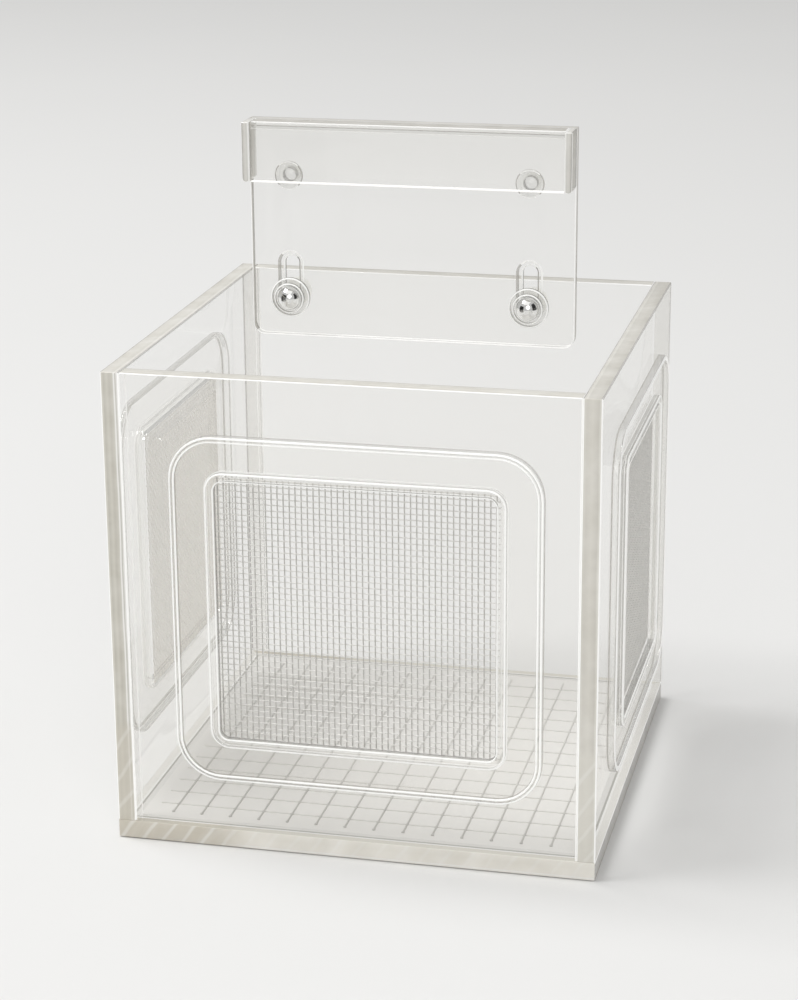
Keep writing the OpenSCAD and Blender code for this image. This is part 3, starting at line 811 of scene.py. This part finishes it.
# %% Hanger plate
SLOT_W, SLOT_H, RECESS, RECESS_DEPTH = 4.3, 14.3, 2.3, 1.2
SLOT_RISE, RIVET_HOLE = 5.0, 4.1
BUTTON_Z = middle("left_catch_button", "Z")
PLATE_R, PLATE_EASE = (0.3, 0.3, 3.5, 3.5), (0.15, 0.35)
SHANK_EASE, RECESS_EASE, RIVET_HOLE_EASE = (0.15, 0.45), (0.05, 0.7), (0.05, 0.05)


def slot_hole():
    """A slot for the screw's shank, inside a shallow recess that opens to the front."""
    shank = (SLOT_W, SLOT_H, SLOT_W / 2)
    recess = swell(shank, RECESS / 2)
    # painted shade lines along the right of the shank's rim and the left of the recess's rim
    return (stack(shank, -HANG_T, -RECESS_DEPTH, SHANK_EASE, HOLE, high_line={"right": painted_shade_line})
            + stack(recess, -RECESS_DEPTH, 0, RECESS_EASE, HOLE, high_line={"left": painted_shade_line}))


cuts = []
for x in (LEFT_X, RIGHT_X):
    rivet_hole = stack(circle(RIVET_HOLE), -HANG_T, 0, RIVET_HOLE_EASE, HOLE)
    cuts += [(slot_hole(), x - HANG_MID, SCREW_Z + SLOT_RISE - PLATE_MID),
             (rivet_hole, x - HANG_MID, BUTTON_Z - PLATE_MID)]
# the plate's lower arris carries the glowing painted highlight, its back arrises painted shade
plate = build("hanger_plate_sheet", stood(HANG_MID, PLATE_FRONT, PLATE_MID),
              stack((HANG_W, HANG_H, PLATE_R), -HANG_T, 0, PLATE_EASE), cuts, hanger_face,
              {**dict.fromkeys(SIDES, plate_edge), "bottom": arris}, "hanger_plate", hole_wall=slot_wall,
              lines={"bottom": glowing_highlight_line, "left_low": painted_shade_line, "right_low": painted_shade_line,
                     "top_low": painted_shade_line, "top": hanger_face})

# %% Hook
HOOK_W = HANG_W - 2 * HOOK_T - 2 * SEAM
STRIP_D, STRIP_MID = size("hanger_top", "Y"), middle("hanger_top", "Y")
CAP_D, CAP_R = size("hanger_left_cap", "Y"), (0.3, 0.3, 1.05, 1.05)
LIP_R, STRIP_R = 0.3, 0.2
LIP_EASE, STRIP_EASE, CAP_EASE = (0.3, 0.65), (0.2, 0.3), (0.1, 0.15)
LIP_MID = HANG_TOP - LIP_H / 2
# the lip's lower arris carries the glowing painted highlight
lip = build("hook_lip", stood(HANG_MID, LIP_FRONT, LIP_MID),
            stack((HOOK_W, LIP_H, LIP_R), -HOOK_T, 0, LIP_EASE), [], hanger_face,
            {"left": plate_edge, "right": plate_edge}, "hanger_lip",
            lines={"bottom": glowing_highlight_line, "top": hanger_face, "left": hanger_face, "right": hanger_face})
strip_place = Matrix.Translation(Vector((HANG_MID, STRIP_MID, HANG_TOP - HOOK_T)) * MM)
strip_rims = stack((HOOK_W, STRIP_D - 2 * SEAM, STRIP_R), 0, HOOK_T, STRIP_EASE)
strip = build("hook_strip", strip_place, strip_rims, [], plate_edge, hanger_face, "hanger_top",
              lines={"top": painted_shade_line}, flats=(hanger_face, plate_edge))
for name, node in (("hook_left_cap", "hanger_left_cap"), ("hook_right_cap", "hanger_right_cap")):
    build(name, stood(middle(node, "X"), LIP_FRONT, LIP_MID),
                      stack((HOOK_T, LIP_H, CAP_R), SEAM - CAP_D, 0, CAP_EASE), [], cap_edge,
                      {"left": hanger_face, "right": hanger_face}, node)

# %% [markdown]
# ## Buttons, knobs and nuts
#
# These are turned shapes: a stack of circles from the back to the front. The knob is a stepped
# clear ring, and the bright nut that is pressed into it ends in a dome, so its last rims shrink
# to a point along a circle's arc.

# %% Catch buttons and clamps
RIVET_D, SHANK_D, BUTTON_D, STEP_D, DOME_D = 5.2, 3.95, 8.4, 6.4, 5.7
RIVET_BACK, BUTTON_T, STEP_TOP, DOME_TOP = -3.7, 0.8, 1.05, 2.2
RIVET_EASE, TIGHT_EASE, BUTTON_EASE, STEP_EASE = (0.15, 0.15), (0.02, 0.02), (0.1, 0.3), (0.02, 0.15)
KNOB_D, COLLAR_D, BORE_D, KNOB_T, COLLAR_TOP = 11.8, 9.0, 6.9, 1.6, 3.0
NUT_D, NUT_T, NUT_TOP = 6.8, 3.3, 5.7
KNOB_EASE, COLLAR_EASE, BORE_EASE, NUT_EASE = (0.4, 0.4), (0.3, 0.35), (0.1, 0.2), (0.15, 0.02)
CLAMP_Y = span("left_clamp_knob", "Y")[1]


def dome_rims(d, low, high, finish, parts=12):
    """A cap of a ball, from its foot of diameter d to its top, where the rims shrink to a point."""
    ball = ((d / 2) ** 2 + (high - low) ** 2) / (2 * (high - low))
    start = math.asin(min(1.0, d / 2 / ball)) if high - low <= ball else math.pi - math.asin(d / 2 / ball)
    rims = []
    for n in range(parts + 1):
        a = start * (1 - n / parts)
        rims.append((*circle(max(2 * ball * math.sin(a), LEAST_R)), high - ball + ball * math.cos(a), finish))
    return rims


def button_rims():
    """The rivet's head behind the plate, its shank, then the button's disc, step and dome."""
    # painted shade lines on the left and right of the disc's front arris, and one at its foot
    grey = {"left": painted_shade_line, "right": painted_shade_line}
    return (stack(circle(RIVET_D), RIVET_BACK, -HANG_T - CRACK, RIVET_EASE)
            + stack(circle(SHANK_D), -HANG_T, 0.0, TIGHT_EASE)
            + stack(circle(BUTTON_D), CRACK, BUTTON_T, BUTTON_EASE, low_line=painted_shade_line, high_line=grey)
            + stack(circle(STEP_D), BUTTON_T, STEP_TOP, STEP_EASE, high_line=dome_clear)
            + dome_rims(DOME_D, STEP_TOP, DOME_TOP, dome_clear))


def knob_rims():
    """A wide ring and a narrower collar, each with a painted shade line at its foot."""
    return (stack(circle(KNOB_D), 0, KNOB_T, KNOB_EASE, low_line=painted_shade_line)
            + stack(circle(COLLAR_D), KNOB_T, COLLAR_TOP, COLLAR_EASE, low_line=painted_shade_line))


def nut_rims():
    """A round barrel under a dome."""
    return (stack(circle(NUT_D), 0, NUT_T - CRACK, NUT_EASE)
            + dome_rims(NUT_D, NUT_T, NUT_TOP, nut_chrome, 16))


for side, x in (("left", LEFT_X), ("right", RIGHT_X)):
    button = build(side + "_button", stood(x, PLATE_FRONT, BUTTON_Z), button_rims(), [], ring_clear,
                   slot_wall, side + "_catch_button", steps=16)
    clamp = stood(x, CLAMP_Y, SCREW_Z)
    bore = stack(circle(BORE_D), 0, COLLAR_TOP, BORE_EASE, HOLE)
    knob = build(side + "_knob", clamp, knob_rims(), [(bore, 0.0, 0.0)], ring_clear, slot_wall,
                 side + "_clamp_knob", steps=18, hole_wall=slot_wall)
    nut = build(side + "_nut", clamp, nut_rims(), [], nut_chrome, nut_chrome, side + "_cap_nut", steps=18,
                line=nut_chrome)

# %% [markdown]
# ## Solids that stay
#
# The screws and the ruled lines already have their true shape in the frame, so they keep it and
# only get a finish.

# %% Dress the kept solids
for node, finish in (("left_clamp_screw", screw_steel), ("right_clamp_screw", screw_steel),
                     ("floor_grid", rule_ink)):
    kept = frame["nodes"][node].data
    kept.materials.clear()
    kept.materials.append(finish)
print("kept: two screws and the rulings")

# %% [markdown]
# ## Floor and light
#
# A clear box is drawn by what is around it. The room is white and even, the floor is pale, and a
# large lamp high on the left gives the soft shadow. In an all-white room a bright nut would look
# like chalk, so it gets something to mirror, as a photographer of silverware does: a dark card on
# each side and a white card above, which glows like a softbox. Only mirrored rays see them.

# %% Floor and cards
GROUND, GROUND_Z = 9, -0.0002


def matt(name, dark, light, scale):
    material, flow, at = start_finish(name)
    mottle = flow.node("TexNoise", out="Fac", Vector=at, Scale=scale, Detail=2.0)
    shade = mottle.mixed((*dark, 1), (*light, 1))
    return end_finish(material, flow.node(
        "BsdfPrincipled", Roughness=1.0, Specular_IOR_Level=0.0, Base_Color=shade))


def quad(name, corners, finish):
    mesh = bpy.data.meshes.new(name)
    mesh.from_pydata(corners, [], [(0, 1, 2, 3)])
    mesh.materials.append(finish)
    made = bpy.data.objects.new(name, mesh)
    scene.collection.objects.link(made)
    return made


def upright_card(a, b, low, high):
    return [(*a, low), (*b, low), (*b, high), (*a, high)]


def level_card(x0, y0, x1, y1, z):
    return [(x0, y0, z), (x1, y0, z), (x1, y1, z), (x0, y1, z)]


pale = matt("pale_ground", (0.765, 0.763, 0.755), (0.785, 0.783, 0.775), 3.0)
floor = quad("ground", level_card(-GROUND, -GROUND, GROUND, GROUND, GROUND_Z), pale)
felt = matt("dark_card", (0.02, 0.02, 0.02), (0.05, 0.05, 0.05), 40.0)
white, flow, at = start_finish("white_card")
white = end_finish(white, flow.node("Emission", Color=(1.0, 0.995, 0.985, 1), Strength=1.0))
for name, corners, finish in (
        ("left_card", upright_card((-0.33, -0.05), (-0.15, -0.23), 0.0, 0.3), felt),
        ("right_card", upright_card((0.27, -0.12), (0.32, 0.1), 0.1, 0.45), felt),
        ("top_card", level_card(-0.25, -0.26, 0.15, 0.04, 0.5), white)):
    card = quad(name, corners, finish)
    card.visible_camera = card.visible_diffuse = card.visible_transmission = card.visible_shadow = False
print("stage: the floor and three cards")

# %% Room and lamps
ROOM_COLOUR, ROOM_STRENGTH = (0.932, 0.93, 0.924, 1), 0.59

# a ray crosses many clear faces here, so it may go on for longer than Blender allows at first
scene.cycles.max_bounces, scene.cycles.transparent_max_bounces = 24, 64
scene.cycles.transmission_bounces, scene.cycles.glossy_bounces = 16, 6

world = bpy.data.worlds.new("white_room")
scene.world = world
world.use_nodes = True
world.node_tree.nodes["Background"].inputs["Color"].default_value = ROOM_COLOUR
world.node_tree.nodes["Background"].inputs["Strength"].default_value = ROOM_STRENGTH


def lamp(name, place, target, across, watts):
    light = bpy.data.lights.new(name, "AREA")
    light.shape, light.size, light.energy = "DISK", across, watts
    holder = bpy.data.objects.new(name, light)
    holder.location = place
    holder.rotation_euler = (Vector(target) - Vector(place)).to_track_quat("-Z", "Y").to_euler()
    scene.collection.objects.link(holder)


lamp("left_softbox", place=(-1.3, -0.12, 2.6), target=(0, 0, 0.06), across=1.5, watts=48.0)
lamp("front_fill", place=(0.3, -1.3, 0.8), target=(0, 0, 0.08), across=1.0, watts=4.5)
print("room and lamps ready")
